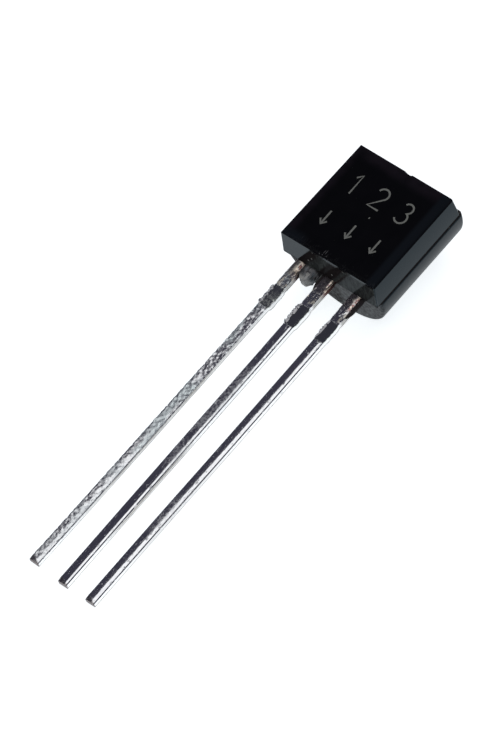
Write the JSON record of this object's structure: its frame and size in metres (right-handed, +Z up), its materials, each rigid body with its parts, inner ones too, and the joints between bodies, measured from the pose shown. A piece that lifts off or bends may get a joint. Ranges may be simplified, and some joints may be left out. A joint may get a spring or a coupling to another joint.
{
  "type": "to-92 transistor",
  "caption": "Small through-hole transistor: black moulded D-shaped case with a flat face, a rounded back and long tinned strip leads in one row, lying on its back.",
  "frame": {"origin": "middle of the box that holds the whole part, on the surface that it lies on", "axes": "+Y runs along the leads from their cut tips towards the case, +Z is up, away from the surface it lies on and out through the flat face, which leans 8 degrees towards the lead tips; +X runs across the flat face from the emitter lead to the base lead"},
  "size_m": [0.0046, 0.0192, 0.0038],
  "materials": {
    "moulded_epoxy": "satin",
    "tinned_lead": "gloss",
    "silicon": "polished",
    "die_solder": "satin",
    "gold_wire": "polished"
  },
  "bodies": {
    "root": {"case": "moulded_epoxy", "emitter_lead": "tinned_lead", "collector_lead": "tinned_lead", "base_lead": "tinned_lead", "die_attach": "die_solder", "silicon_die": "silicon", "emitter_bond_wire": "gold_wire", "base_bond_wire": "gold_wire"}
  },
  "joints": []
}
